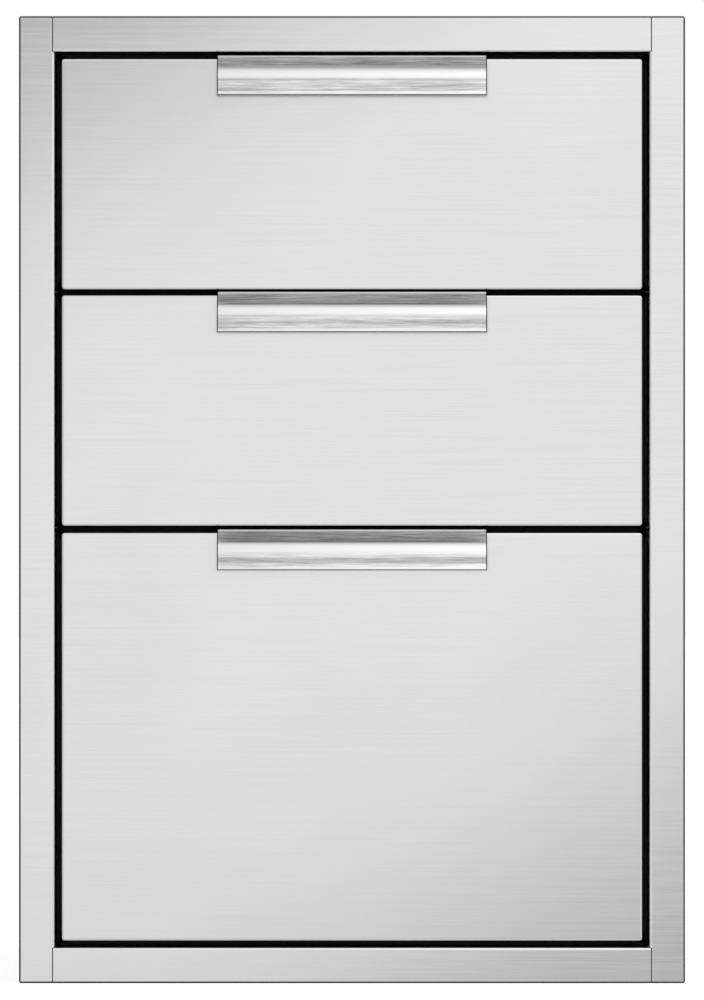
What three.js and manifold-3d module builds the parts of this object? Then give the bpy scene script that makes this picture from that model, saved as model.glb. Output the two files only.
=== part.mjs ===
// Built-in drawer unit for an outdoor kitchen: a folded stainless steel face frame and housing
// that slide into a cut-out in the island, and three drawers on full-extension ball slides.
//
// Millimetres. +Z is up, -Y is the front and +X is to the right of someone facing the drawers.
// The origin is where the unit meets its cut-out: half way across, on the island's front face,
// at the level of the sill that the housing stands on.

import * as THREE from "three";
import { mergeVertices } from "three/addons/utils/BufferGeometryUtils.js";
import Module from "manifold-3d";

// Joints between pieces
const SEAT = 0.3; // space left between two sheets that bear on each other
const OVERRUN = 2; // how far a cutting tool runs past the sheet that it cuts

// Face frame
const FRAME_WIDTH = 445;
const FRAME_HEIGHT = 646;
const FLANGE_WIDTH = 24; // face of each stile and rail
const FRAME_PROUD = 12; // from the island's face to the face of the frame
const FRAME_SHEET = 1.2;
const FRAME_BEND = 1.6; // outside radius of the folds
const FRAME_HEM = 9; // lip that lies on the island's face
const RETURN_DEPTH = 30; // how far the frame's inner return reaches into the island
const SEAM = 0.4; // butt joint between a rail and a stile
const SEAM_INSET = 1.75; // from the frame's opening to the stile's cut edge

// Housing
const HOUSING_DEPTH = 510; // behind the island's face
const HOUSING_SHEET = 1;
const HOUSING_BEND = 1.5;
const HOUSING_FLANGE = 15;
const HOUSING_CORNER_GAP = 0.5; // between the back flanges of two neighbouring panels
const MOUNT_HOLE_DIAMETER = 5;
const MOUNT_HOLE_SETBACK = 60; // from the nearer end of the side panel
const mountHoleHeightShares = [0.3, 0.7];
const DRAIN_HOLE_DIAMETER = 8;
const DRAIN_HOLE_INSET = 50;

// Dividers between the drawers
const DIVIDER_HEIGHT = 22;
const DIVIDER_FLANGE = 15;
const DIVIDER_SHEET = 1.2;
const DIVIDER_BEND = 1.6;

// Drawer fronts, from the top of the unit down
const SIDE_GAP = 4.5; // between a drawer front and the frame
const GAP_ABOVE_TOP = 4.4;
const GAP_ABOVE_CENTRE = 3.6;
const GAP_ABOVE_BOTTOM = 4.3;
const GAP_BELOW = 4.3;
const SMALL_FRONT_HEIGHT = 154.3; // the bottom front takes the height that is left
const FRONT_DEPTH = 20;
const FRONT_SHEET = 1.2;
const FRONT_BEND = 1.6;
const FRONT_CORNER = 2;
const FRONT_LIP = 10; // turned in behind, to carry the liner

// Liner and seal on the back of a front
const LINER_SHEET = 1;
const LINER_INSET = 0.5;
const GASKET_THICKNESS = 3;
const GASKET_CLEARANCE = 0.5; // from the fin to what it runs past
const GASKET_FIN_BELOW = 0.8; // short, so that it clears the handle of the drawer below
const GASKET_CORNER = 2;
const DIVIDER_CLEARANCE = 0.4; // from the seal to the divider that it closes on

// Handle: one strip folded over the top of the front, bowed out and down
const HANDLE_LENGTH = 180;
const HANDLE_SHEET = 2;
const HANDLE_HOOK = 18; // flat that is screwed to the top of the front
const HANDLE_BROW_RADIUS = 6;
const HANDLE_BROW_TURN = 40; // degrees
const HANDLE_SLOPE = 10.2; // flat, sloping down and out
const HANDLE_BOW_RADIUS = 13;
const HANDLE_BOW_TURN = 65; // degrees
const HANDLE_LIP_RADIUS = 8;
const HANDLE_LIP_TURN = 40; // degrees, back the other way
const HANDLE_ARC_STEP = 8; // degrees of bend in each facet

// Ball slides
const SLIDE_HEIGHT = 45.7;
const SLIDE_THICKNESS = 12.7;
const SLIDE_SHEET = 1.2;
const SLIDE_BEND = 1.8;
const SLIDE_LIP = 2.4; // turned-in edge that keeps the balls in
const SLIDE_RETURN_GAP = 4; // slides start this far behind the frame's return
const SLIDE_BACK_SPACE = 26; // from the end of the slides to the housing's back flange
const SLIDE_LIFT = 40; // centre of the slides above the floor of the drawer
const SLIDE_TIP_GAP = 1.9; // from the tips of the two wider members to the drawer's side
const BALL_DIAMETER = 4;
const BALL_PLAY = 0.25;
const CAGE_SHEET = 0.6;
const CAGE_BEND = 0.9;
const CAGE_LENGTH = 120;
const CAGE_REACH = 0.4; // strip that shows past each row of balls
const BALLS_PER_ROW = 3;
const BALL_END_MARGIN = 12;
const BALL_SEGMENTS = 6;
const BALL_RINGS = 3;
const SLIDE_SLOT_LENGTH = 14; // elongated screw holes in the wall member
const SLIDE_SLOT_WIDTH = 5;
const slideSlotShares = [0.08, 0.5, 0.92];

// Drawer box
const BOX_SHEET = 1;
const BOX_BEND = 1.5;
const BOX_HEM = 8;
const BOX_FLOOR_LIFT = 14; // underside of the box above the front's bottom edge
const BOX_TOP_DROP = 30; // top of the box below the front's top edge
const BOX_BACK_FLANGE = 10;

const BEND_STEP = 30; // degrees of bend in each facet of a plain fold
const RIGHT_ANGLE = 90;
const HOLE_SEGMENTS = 12;

// What follows from those sizes
const openingHalfWidth = FRAME_WIDTH / 2 - FLANGE_WIDTH;
const openingHeight = FRAME_HEIGHT - 2 * FLANGE_WIDTH;
const openingBottom = HOUSING_SHEET + SEAT + FRAME_SHEET;
const openingTop = openingBottom + openingHeight;
const unitCentre = (openingBottom + openingTop) / 2;
const faceY = -FRAME_PROUD;

const wallInside = openingHalfWidth + FRAME_SHEET + SEAT;
const wallOutside = wallInside + HOUSING_SHEET;
const housingHeight = openingHeight + 2 * openingBottom;
const sideHeight = housingHeight - 2 * (HOUSING_SHEET + SEAT);

const slideFront = RETURN_DEPTH + SLIDE_RETURN_GAP;
const slideBack = HOUSING_DEPTH - HOUSING_SHEET - SLIDE_BACK_SPACE;
const slideMiddleY = (slideFront + slideBack) / 2;
const boxHalfWidth = wallInside - SLIDE_THICKNESS;

const frontHalfWidth = openingHalfWidth - SIDE_GAP;
const linerFront = faceY + FRONT_DEPTH + SEAT;
const linerBack = linerFront + LINER_SHEET;
const gasketFront = linerBack + SEAT;
const dividerFront = gasketFront + GASKET_THICKNESS + DIVIDER_CLEARANCE;
const boxFront = linerBack + SEAT;

const topFrontBottom = openingTop - GAP_ABOVE_TOP - SMALL_FRONT_HEIGHT;
const centreFrontBottom = topFrontBottom - GAP_ABOVE_CENTRE - SMALL_FRONT_HEIGHT;
const bottomFrontBottom = openingBottom + GAP_BELOW;
const bottomFrontHeight = centreFrontBottom - GAP_ABOVE_BOTTOM - bottomFrontBottom;

const DRAWERS = [
  {
    name: "top",
    bottom: topFrontBottom,
    height: SMALL_FRONT_HEIGHT,
    finAbove: GAP_ABOVE_TOP - GASKET_CLEARANCE,
    finBelow: GASKET_FIN_BELOW,
  },
  {
    name: "centre",
    bottom: centreFrontBottom,
    height: SMALL_FRONT_HEIGHT,
    finAbove: GAP_ABOVE_CENTRE - GASKET_FIN_BELOW - GASKET_CLEARANCE,
    finBelow: GASKET_FIN_BELOW,
  },
  {
    name: "bottom",
    bottom: bottomFrontBottom,
    height: bottomFrontHeight,
    finAbove: GAP_ABOVE_BOTTOM - GASKET_FIN_BELOW - GASKET_CLEARANCE,
    finBelow: GAP_BELOW - GASKET_CLEARANCE,
  },
];

// Materials
const brushedStainless = new THREE.MeshStandardMaterial({ color: 0xdcdedd, roughness: 0.32, metalness: 1 });
const polishedStainless = new THREE.MeshStandardMaterial({ color: 0xe2e3e2, roughness: 0.24, metalness: 1 });
const millStainless = new THREE.MeshStandardMaterial({ color: 0xc4c6c6, roughness: 0.42, metalness: 1 });
const zincSteel = new THREE.MeshStandardMaterial({ color: 0xb9bcc0, roughness: 0.38, metalness: 1 });
const hardSteel = new THREE.MeshStandardMaterial({ color: 0x8f9296, roughness: 0.3, metalness: 1 });
const blackRubber = new THREE.MeshStandardMaterial({ color: 0x161616, roughness: 0.85, metalness: 0 });

// Solids that can be cut and joined
const wasm = await Module();
wasm.setup();

function solidOf(geometry) {
  const bare = geometry.clone();
  bare.deleteAttribute("normal");
  bare.deleteAttribute("uv");
  const merged = mergeVertices(bare);
  return new wasm.Manifold(
    new wasm.Mesh({
      numProp: 3,
      vertProperties: merged.attributes.position.array,
      triVerts: new Uint32Array(merged.index.array),
    }),
  );
}

function geometryOf(solid) {
  const { vertProperties, triVerts } = solid.getMesh();
  const geometry = new THREE.BufferGeometry();
  geometry.setAttribute("position", new THREE.BufferAttribute(vertProperties, 3));
  geometry.setIndex(new THREE.BufferAttribute(triVerts, 1));
  geometry.computeVertexNormals();
  return geometry;
}

function pieceOf(name, solid, material) {
  const piece = new THREE.Mesh(geometryOf(solid), material);
  piece.name = name;
  return piece;
}

// The same piece on the other side: half a turn about the Y axis
function turned(piece) {
  piece.rotation.y = Math.PI;
  return piece;
}

// A block between two corners
function block(x0, x1, y0, y1, z0, z1) {
  const geometry = new THREE.BoxGeometry(x1 - x0, y1 - y0, z1 - z0);
  geometry.translate((x0 + x1) / 2, (y0 + y1) / 2, (z0 + z1) / 2);
  return solidOf(geometry);
}

// A flat outline pushed along an axis: (y, z) outlines along X and (x, z) outlines along Y
const xAxis = new THREE.Vector3(1, 0, 0);
const yAxis = new THREE.Vector3(0, 1, 0);
const zAxis = new THREE.Vector3(0, 0, 1);

function alongX(outline, from, to) {
  const geometry = new THREE.ExtrudeGeometry(new THREE.Shape(outline), { depth: to - from, bevelEnabled: false });
  geometry.applyMatrix4(new THREE.Matrix4().makeBasis(yAxis, zAxis, xAxis));
  geometry.translate(from, 0, 0);
  return solidOf(geometry);
}

function shapeAlongY(shape, from, to, options = { bevelEnabled: false }) {
  const rim = options.bevelEnabled ? options.bevelThickness : 0;
  const geometry = new THREE.ExtrudeGeometry(shape, { ...options, depth: to - from - 2 * rim });
  geometry.applyMatrix4(new THREE.Matrix4().makeBasis(xAxis, zAxis, yAxis.clone().negate()));
  geometry.translate(0, to - rim, 0);
  return solidOf(geometry);
}

function alongY(outline, from, to) {
  return shapeAlongY(new THREE.Shape(outline), from, to);
}

function alongZ(outline, from, to) {
  const geometry = new THREE.ExtrudeGeometry(new THREE.Shape(outline), { depth: to - from, bevelEnabled: false });
  geometry.translate(0, 0, from);
  return solidOf(geometry);
}

// A round hole's cutter, lying along X or standing along Z
function drill(diameter, length) {
  return new THREE.CylinderGeometry(diameter / 2, diameter / 2, length, HOLE_SEGMENTS);
}

// Section of a folded sheet, as a press brake sees it: flats and bends, one after the other.
// The outline starts at a point with a heading in degrees, and the sheet lies to its left.
// A number is a flat's length. A bend has the radius of the traced face and its turn in degrees.
function foldedSheet(start, heading, steps, sheet, arcStep = BEND_STEP) {
  const traced = [];
  const hidden = [];
  const at = new THREE.Vector2(...start);
  let angle = THREE.MathUtils.degToRad(heading);
  const left = () => new THREE.Vector2(-Math.sin(angle), Math.cos(angle));
  const mark = () => {
    traced.push(at.clone());
    hidden.push(at.clone().addScaledVector(left(), sheet));
  };
  mark();
  for (const step of steps) {
    if (typeof step === "number") {
      at.add(new THREE.Vector2(Math.cos(angle), Math.sin(angle)).multiplyScalar(step));
      mark();
      continue;
    }
    const facets = Math.ceil(Math.abs(step.turn) / arcStep);
    const hand = Math.sign(step.turn);
    const centre = at.clone().addScaledVector(left(), hand * step.radius);
    for (let facet = 0; facet < facets; facet++) {
      angle += THREE.MathUtils.degToRad(step.turn / facets);
      at.copy(centre).addScaledVector(left(), -hand * step.radius);
      mark();
    }
  }
  return [...traced, ...hidden.reverse()];
}

function fold(radius) {
  return { radius, turn: RIGHT_ANGLE };
}

function roundedRectangle(halfWidth, bottom, top, radius) {
  const quarter = Math.PI / 2;
  const shape = new THREE.Shape();
  shape.absarc(halfWidth - radius, bottom + radius, radius, -quarter, 0);
  shape.absarc(halfWidth - radius, top - radius, radius, 0, quarter);
  shape.absarc(-halfWidth + radius, top - radius, radius, quarter, 2 * quarter);
  shape.absarc(-halfWidth + radius, bottom + radius, radius, 2 * quarter, 3 * quarter);
  return shape;
}

// Face frame: two stiles over the full height, and two rails that butt between them

const seamX = openingHalfWidth + SEAM_INSET;

// Folded section shared by stiles and rails: inner return, face, outer return, hem
function frameSection(start, heading) {
  return foldedSheet(
    start,
    heading,
    [
      RETURN_DEPTH + FRAME_PROUD - FRAME_BEND,
      fold(FRAME_BEND),
      FLANGE_WIDTH - 2 * FRAME_BEND,
      fold(FRAME_BEND),
      FRAME_PROUD - 2 * FRAME_BEND,
      fold(FRAME_BEND),
      FRAME_HEM - FRAME_BEND,
    ],
    FRAME_SHEET,
  );
}

function stile() {
  const half = FRAME_HEIGHT / 2;
  const section = frameSection([openingHalfWidth, RETURN_DEPTH], -RIGHT_ANGLE);
  let made = alongZ(section, -half, half);
  for (const end of [-1, 1]) {
    const inner = end * (openingHeight / 2 - SEAM);
    const outer = end * (half + OVERRUN);
    const notch = block(
      openingHalfWidth - OVERRUN,
      seamX,
      faceY - OVERRUN,
      RETURN_DEPTH + OVERRUN,
      Math.min(inner, outer),
      Math.max(inner, outer),
    );
    const capInner = end * (half - FRAME_SHEET);
    const cap = block(
      seamX,
      FRAME_WIDTH / 2 - FRAME_SHEET / 2,
      faceY + FRAME_SHEET / 2,
      -FRAME_SHEET / 2,
      Math.min(capInner, end * half),
      Math.max(capInner, end * half),
    );
    made = made.subtract(notch).add(cap);
  }
  return made;
}

function rail() {
  const reach = seamX - SEAM;
  const section = frameSection([RETURN_DEPTH, -openingHeight / 2], 2 * RIGHT_ANGLE);
  return alongX(section, -reach, reach);
}

function frame() {
  const group = new THREE.Group();
  group.position.z = unitCentre;
  group.add(pieceOf("frame_stile_right", stile(), brushedStainless));
  group.add(turned(pieceOf("frame_stile_left", stile(), brushedStainless)));
  group.add(pieceOf("frame_rail_bottom", rail(), brushedStainless));
  group.add(turned(pieceOf("frame_rail_top", rail(), brushedStainless)));
  return group;
}

// Housing: two flanged sides, a floor and a top with a back flange each, and a flat back

const flangeInside = wallOutside - HOUSING_FLANGE;

function housingSide() {
  const half = sideHeight / 2;
  const section = foldedSheet(
    [flangeInside, -half],
    0,
    [
      HOUSING_FLANGE - HOUSING_BEND,
      fold(HOUSING_BEND),
      sideHeight - 2 * HOUSING_BEND,
      fold(HOUSING_BEND),
      HOUSING_FLANGE - HOUSING_BEND,
    ],
    HOUSING_SHEET,
  );
  const backFlange = block(
    flangeInside,
    wallInside + HOUSING_SHEET / 2,
    HOUSING_DEPTH - HOUSING_SHEET,
    HOUSING_DEPTH,
    -half + HOUSING_SHEET / 2,
    half - HOUSING_SHEET / 2,
  );
  let made = alongY(section, SEAT, HOUSING_DEPTH).add(backFlange);
  const relief = HOUSING_BEND + SEAT;
  for (const level of [-half - OVERRUN, half - relief]) {
    const corner = block(
      flangeInside - OVERRUN,
      wallOutside + OVERRUN,
      SEAT - OVERRUN,
      slideFront,
      level,
      level + relief + OVERRUN,
    );
    made = made.subtract(corner);
  }
  for (const share of mountHoleHeightShares) {
    for (const y of [MOUNT_HOLE_SETBACK, HOUSING_DEPTH - MOUNT_HOLE_SETBACK]) {
      const hole = drill(MOUNT_HOLE_DIAMETER, HOUSING_SHEET + 2 * OVERRUN);
      hole.rotateZ(Math.PI / 2);
      hole.translate(wallInside, y, (share - 1 / 2) * housingHeight);
      made = made.subtract(solidOf(hole));
    }
  }
  return made;
}

function housingFloor() {
  const half = housingHeight / 2;
  const section = foldedSheet(
    [SEAT, -half],
    0,
    [HOUSING_DEPTH - SEAT - HOUSING_BEND, fold(HOUSING_BEND), HOUSING_FLANGE - HOUSING_BEND],
    HOUSING_SHEET,
  );
  let made = alongX(section, -wallOutside, wallOutside);
  const flangeEnd = flangeInside - HOUSING_CORNER_GAP;
  for (const side of [-1, 1]) {
    const notch = block(
      Math.min(side * flangeEnd, side * (wallOutside + OVERRUN)),
      Math.max(side * flangeEnd, side * (wallOutside + OVERRUN)),
      HOUSING_DEPTH - HOUSING_BEND - SEAT,
      HOUSING_DEPTH + OVERRUN,
      -half - OVERRUN,
      -half + HOUSING_FLANGE + OVERRUN,
    );
    made = made.subtract(notch);
  }
  return made;
}

function drainHoles() {
  const x = wallInside - DRAIN_HOLE_INSET;
  return [-1, 1].flatMap((side) =>
    [slideFront + DRAIN_HOLE_INSET, slideBack - DRAIN_HOLE_INSET].map((y) => {
      const hole = drill(DRAIN_HOLE_DIAMETER, HOUSING_SHEET + 2 * OVERRUN);
      hole.rotateX(Math.PI / 2);
      hole.translate(side * x, y, -housingHeight / 2);
      return solidOf(hole);
    }),
  );
}

function housingBack() {
  const front = HOUSING_DEPTH + SEAT;
  return block(
    -wallOutside,
    wallOutside,
    front,
    front + HOUSING_SHEET,
    -housingHeight / 2,
    housingHeight / 2,
  );
}

function housing() {
  const group = new THREE.Group();
  group.position.z = unitCentre;
  const floor = drainHoles().reduce((made, hole) => made.subtract(hole), housingFloor());
  group.add(pieceOf("housing_side_right", housingSide(), millStainless));
  group.add(turned(pieceOf("housing_side_left", housingSide(), millStainless)));
  group.add(pieceOf("housing_floor", floor, millStainless));
  group.add(turned(pieceOf("housing_top", housingFloor(), millStainless)));
  group.add(pieceOf("housing_back", housingBack(), millStainless));
  return group;
}

// Dividers: channels between the drawers, which tie the frame together and stop the seals

function divider(name, level) {
  const half = DIVIDER_HEIGHT / 2;
  const reach = openingHalfWidth - SEAT;
  const section = foldedSheet(
    [dividerFront + DIVIDER_FLANGE, half],
    2 * RIGHT_ANGLE,
    [
      DIVIDER_FLANGE - DIVIDER_BEND,
      fold(DIVIDER_BEND),
      DIVIDER_HEIGHT - 2 * DIVIDER_BEND,
      fold(DIVIDER_BEND),
      DIVIDER_FLANGE - DIVIDER_BEND,
    ],
    DIVIDER_SHEET,
  );
  const piece = pieceOf(name, alongX(section, -reach, reach), millStainless);
  piece.position.z = level;
  return piece;
}

function dividers() {
  const group = new THREE.Group();
  group.add(divider("divider_upper", topFrontBottom - GAP_ABOVE_CENTRE / 2));
  group.add(divider("divider_lower", centreFrontBottom - GAP_ABOVE_BOTTOM / 2));
  return group;
}

// Ball slide, as it sits on the right-hand wall, about its own centre height.
// Three channels nest in each other, with a caged double row of balls between each two.

const ballSpace = BALL_DIAMETER + 2 * BALL_PLAY;
const outerHalf = SLIDE_HEIGHT / 2;
const intermediateHalf = outerHalf - SLIDE_SHEET - ballSpace;
const innerHalf = intermediateHalf - SLIDE_SHEET - ballSpace;
const outerWeb = wallInside - SEAT;
const outerCageWeb = outerWeb - SLIDE_SHEET - SEAT;
const intermediateWeb = outerCageWeb - CAGE_SHEET - SEAT;
const innerCageWeb = intermediateWeb - SLIDE_SHEET - SEAT;
const memberTip = boxHalfWidth + SLIDE_TIP_GAP;
const innerTip = innerCageWeb - CAGE_SHEET - SEAT;
const innerMemberWeb = boxHalfWidth + SEAT;
const outerBallX = (outerWeb - SLIDE_SHEET + memberTip + SLIDE_SHEET) / 2;
const innerBallX = (innerTip + memberTip + SLIDE_SHEET) / 2;

// Channel that opens towards the drawer, with a lip along each edge
function lippedChannel(web, half) {
  const flange = web - memberTip;
  return foldedSheet(
    [memberTip, -half + SLIDE_LIP],
    -RIGHT_ANGLE,
    [
      SLIDE_LIP - SLIDE_BEND,
      fold(SLIDE_BEND),
      flange - 2 * SLIDE_BEND,
      fold(SLIDE_BEND),
      2 * half - 2 * SLIDE_BEND,
      fold(SLIDE_BEND),
      flange - 2 * SLIDE_BEND,
      fold(SLIDE_BEND),
      SLIDE_LIP - SLIDE_BEND,
    ],
    SLIDE_SHEET,
  );
}

function outerMember() {
  let made = alongY(lippedChannel(outerWeb, outerHalf), slideFront, slideBack);
  for (const share of slideSlotShares) {
    const y = slideFront + share * (slideBack - slideFront);
    made = made.subtract(slot(outerWeb, y));
  }
  return made;
}

// Cutter for an elongated screw hole through a web that stands across X
function slot(x, y) {
  const straight = (SLIDE_SLOT_LENGTH - SLIDE_SLOT_WIDTH) / 2;
  const reach = SLIDE_SHEET + OVERRUN;
  const ends = [-straight, straight].map((shift) => {
    const hole = drill(SLIDE_SLOT_WIDTH, 2 * reach);
    hole.rotateZ(Math.PI / 2);
    hole.translate(x, y + shift, 0);
    return solidOf(hole);
  });
  const width = SLIDE_SLOT_WIDTH / 2;
  return block(x - reach, x + reach, y - straight, y + straight, -width, width)
    .add(ends[0])
    .add(ends[1]);
}

function intermediateMember() {
  return alongY(lippedChannel(intermediateWeb, intermediateHalf), slideFront, slideBack);
}

// The inner member opens towards the wall and is screwed to the drawer's side
function innerMember() {
  const flange = innerTip - innerMemberWeb;
  const section = foldedSheet(
    [innerTip, innerHalf],
    2 * RIGHT_ANGLE,
    [
      flange - SLIDE_BEND,
      fold(SLIDE_BEND),
      2 * innerHalf - 2 * SLIDE_BEND,
      fold(SLIDE_BEND),
      flange - SLIDE_BEND,
    ],
    SLIDE_SHEET,
  );
  return alongY(section, slideFront, slideBack);
}

// Bent strip that spaces the balls, with the balls snapped into it
function cage(web, outsideHalf, ballX) {
  const row = outsideHalf - SLIDE_SHEET - ballSpace / 2;
  const half = row + CAGE_SHEET / 2;
  const flange = web - ballX + BALL_DIAMETER / 2 + CAGE_REACH;
  const start = slideMiddleY - CAGE_LENGTH / 2;
  const strip = foldedSheet(
    [web - flange, -half],
    0,
    [
      flange - CAGE_BEND,
      fold(CAGE_BEND),
      2 * half - 2 * CAGE_BEND,
      fold(CAGE_BEND),
      flange - CAGE_BEND,
    ],
    CAGE_SHEET,
  );
  let made = alongY(strip, start, start + CAGE_LENGTH);
  const pitch = (CAGE_LENGTH - 2 * BALL_END_MARGIN) / (BALLS_PER_ROW - 1);
  for (let n = 0; n < BALLS_PER_ROW; n++) {
    for (const level of [-row, row]) {
      const ball = new THREE.SphereGeometry(BALL_DIAMETER / 2, BALL_SEGMENTS, BALL_RINGS);
      ball.rotateX(Math.PI / 2);
      ball.translate(ballX, start + BALL_END_MARGIN + n * pitch, level);
      made = made.add(solidOf(ball));
    }
  }
  return made;
}

// Both slides of one drawer
function slides(drawer) {
  const group = new THREE.Group();
  group.position.z = drawer.bottom + BOX_FLOOR_LIFT + SLIDE_LIFT;
  const members = {
    outer: [outerMember, zincSteel],
    intermediate: [intermediateMember, zincSteel],
    inner: [innerMember, zincSteel],
    outer_cage: [() => cage(outerCageWeb, outerHalf, outerBallX), hardSteel],
    inner_cage: [() => cage(innerCageWeb, intermediateHalf, innerBallX), hardSteel],
  };
  for (const [member, [make, material]] of Object.entries(members)) {
    group.add(pieceOf(`slide_${drawer.name}_right_${member}`, make(), material));
    group.add(turned(pieceOf(`slide_${drawer.name}_left_${member}`, make(), material)));
  }
  return group;
}

// Drawer front: a shallow pan, folded back on all four sides and turned in behind

function frontPan(drawer) {
  const back = faceY + FRONT_DEPTH;
  const shape = roundedRectangle(frontHalfWidth, 0, drawer.height, FRONT_CORNER);
  const rim = {
    bevelEnabled: true,
    bevelThickness: FRONT_BEND,
    bevelSize: FRONT_BEND,
    bevelOffset: -FRONT_BEND,
    bevelSegments: 2,
    curveSegments: 2,
  };
  const inside = frontHalfWidth - FRONT_SHEET;
  const cavity = block(
    -inside,
    inside,
    faceY + FRONT_SHEET,
    back - FRONT_SHEET,
    FRONT_SHEET,
    drawer.height - FRONT_SHEET,
  );
  const mouth = block(
    -inside + FRONT_LIP,
    inside - FRONT_LIP,
    back - FRONT_SHEET - OVERRUN,
    back + OVERRUN,
    FRONT_SHEET + FRONT_LIP,
    drawer.height - FRONT_SHEET - FRONT_LIP,
  );
  return shapeAlongY(shape, faceY, back, rim).subtract(cavity).subtract(mouth);
}

// Liner: closes the back of the pan, and is the front wall of the drawer box
function liner(drawer) {
  const half = frontHalfWidth - LINER_INSET;
  return block(-half, half, linerFront, linerBack, LINER_INSET, drawer.height - LINER_INSET);
}

// Seal: a flat rubber ring behind the liner's edge, with a fin that fills the gap round the front
function gasket(drawer) {
  const outside = openingHalfWidth - GASKET_CLEARANCE;
  const inside = boxHalfWidth + GASKET_CLEARANCE;
  const band = outside - inside;
  const bottom = -drawer.finBelow;
  const top = drawer.height + drawer.finAbove;
  const ring = roundedRectangle(outside, bottom, top, GASKET_CORNER);
  ring.holes.push(roundedRectangle(inside, bottom + band, top - band, GASKET_CORNER));
  const options = { bevelEnabled: false, curveSegments: 2 };
  return shapeAlongY(ring, gasketFront, gasketFront + GASKET_THICKNESS, options);
}

// Handle: hooks over the front's top edge, slopes out, bows down and flares at the lip
function handle(drawer) {
  const top = drawer.height + SEAT + HANDLE_SHEET;
  const section = foldedSheet(
    [faceY + HANDLE_HOOK, top],
    2 * RIGHT_ANGLE,
    [
      HANDLE_HOOK,
      { radius: HANDLE_BROW_RADIUS, turn: HANDLE_BROW_TURN },
      HANDLE_SLOPE,
      { radius: HANDLE_BOW_RADIUS, turn: HANDLE_BOW_TURN },
      { radius: HANDLE_LIP_RADIUS, turn: -HANDLE_LIP_TURN },
    ],
    HANDLE_SHEET,
    HANDLE_ARC_STEP,
  );
  return alongX(section, -HANDLE_LENGTH / 2, HANDLE_LENGTH / 2);
}

// Drawer box: floor and sides folded from one sheet, and a flanged back
const boxBottom = BOX_FLOOR_LIFT;

function boxTop(drawer) {
  return drawer.height - BOX_TOP_DROP;
}

function boxShell(drawer) {
  const height = boxTop(drawer) - boxBottom;
  const wall = height - 2 * BOX_BEND;
  const section = foldedSheet(
    [-boxHalfWidth + BOX_HEM, boxTop(drawer)],
    2 * RIGHT_ANGLE,
    [
      BOX_HEM - BOX_BEND,
      fold(BOX_BEND),
      wall,
      fold(BOX_BEND),
      2 * boxHalfWidth - 2 * BOX_BEND,
      fold(BOX_BEND),
      wall,
      fold(BOX_BEND),
      BOX_HEM - BOX_BEND,
    ],
    BOX_SHEET,
  );
  return alongY(section, boxFront, slideBack);
}

function boxBack(drawer) {
  const step = BOX_SHEET + SEAT;
  const bottom = boxBottom + step;
  const height = boxTop(drawer) - step - bottom;
  const section = foldedSheet(
    [slideBack - BOX_BACK_FLANGE, bottom],
    0,
    [
      BOX_BACK_FLANGE - BOX_BEND,
      fold(BOX_BEND),
      height - 2 * BOX_BEND,
      fold(BOX_BEND),
      BOX_BACK_FLANGE - BOX_BEND,
    ],
    BOX_SHEET,
  );
  const reach = boxHalfWidth - step;
  return alongX(section, -reach, reach);
}

function drawerBody(drawer) {
  const group = new THREE.Group();
  group.position.z = drawer.bottom;
  const name = `drawer_${drawer.name}`;
  group.add(pieceOf(`${name}_front`, frontPan(drawer), brushedStainless));
  group.add(pieceOf(`${name}_liner`, liner(drawer), millStainless));
  group.add(pieceOf(`${name}_gasket`, gasket(drawer), blackRubber));
  group.add(pieceOf(`${name}_handle`, handle(drawer), polishedStainless));
  group.add(pieceOf(`${name}_box`, boxShell(drawer), millStainless));
  group.add(pieceOf(`${name}_box_back`, boxBack(drawer), millStainless));
  return group;
}

// The whole unit
const unit = new THREE.Group();
unit.name = "drawer_unit";
unit.add(frame(), housing(), dividers());
for (const drawer of DRAWERS) {
  unit.add(drawerBody(drawer), slides(drawer));
}

export default unit;
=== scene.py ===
import math

import bmesh
import bpy
from mathutils import Matrix, Vector


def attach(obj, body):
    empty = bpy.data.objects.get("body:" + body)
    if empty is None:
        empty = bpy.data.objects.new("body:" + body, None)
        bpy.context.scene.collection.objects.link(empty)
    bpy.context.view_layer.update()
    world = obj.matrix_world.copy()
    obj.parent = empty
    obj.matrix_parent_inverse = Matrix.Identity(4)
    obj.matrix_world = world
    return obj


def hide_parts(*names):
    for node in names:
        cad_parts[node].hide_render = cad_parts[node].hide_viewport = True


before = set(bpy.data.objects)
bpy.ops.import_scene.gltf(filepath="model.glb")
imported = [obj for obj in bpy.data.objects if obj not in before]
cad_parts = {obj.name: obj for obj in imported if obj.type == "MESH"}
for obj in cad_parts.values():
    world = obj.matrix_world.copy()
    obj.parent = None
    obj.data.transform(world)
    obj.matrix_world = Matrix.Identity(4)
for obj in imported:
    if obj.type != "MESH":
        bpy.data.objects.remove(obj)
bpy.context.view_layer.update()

# The view: the unit from straight ahead, level with the middle of its frame. A long lens from
# well back keeps it square, as the handles' even spacing in the photograph shows.
MM = 0.001
MIDDLE = 301.5  # height of the frame's middle
FACE = -12.0  # the frame's face
VIEW_DISTANCE = 6000.0
VIEW_HEIGHT = 667.8  # how much the picture's height takes in at the frame's face
VIEW_DROP = 0.2  # how far below the frame's middle the camera stands
camera_data = bpy.data.cameras.new("view")
camera_data.sensor_width = 36.0
camera_data.lens = camera_data.sensor_width * VIEW_DISTANCE / VIEW_HEIGHT
camera_data.clip_end = 40.0
camera = bpy.data.objects.new("view", camera_data)
camera.location = Vector((0.0, FACE - VIEW_DISTANCE, MIDDLE - VIEW_DROP)) * MM
camera.rotation_euler = (math.pi / 2, 0.0, 0.0)
bpy.context.collection.objects.link(camera)
bpy.context.scene.camera = camera
bpy.context.scene.view_settings.view_transform = "Standard"


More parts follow.
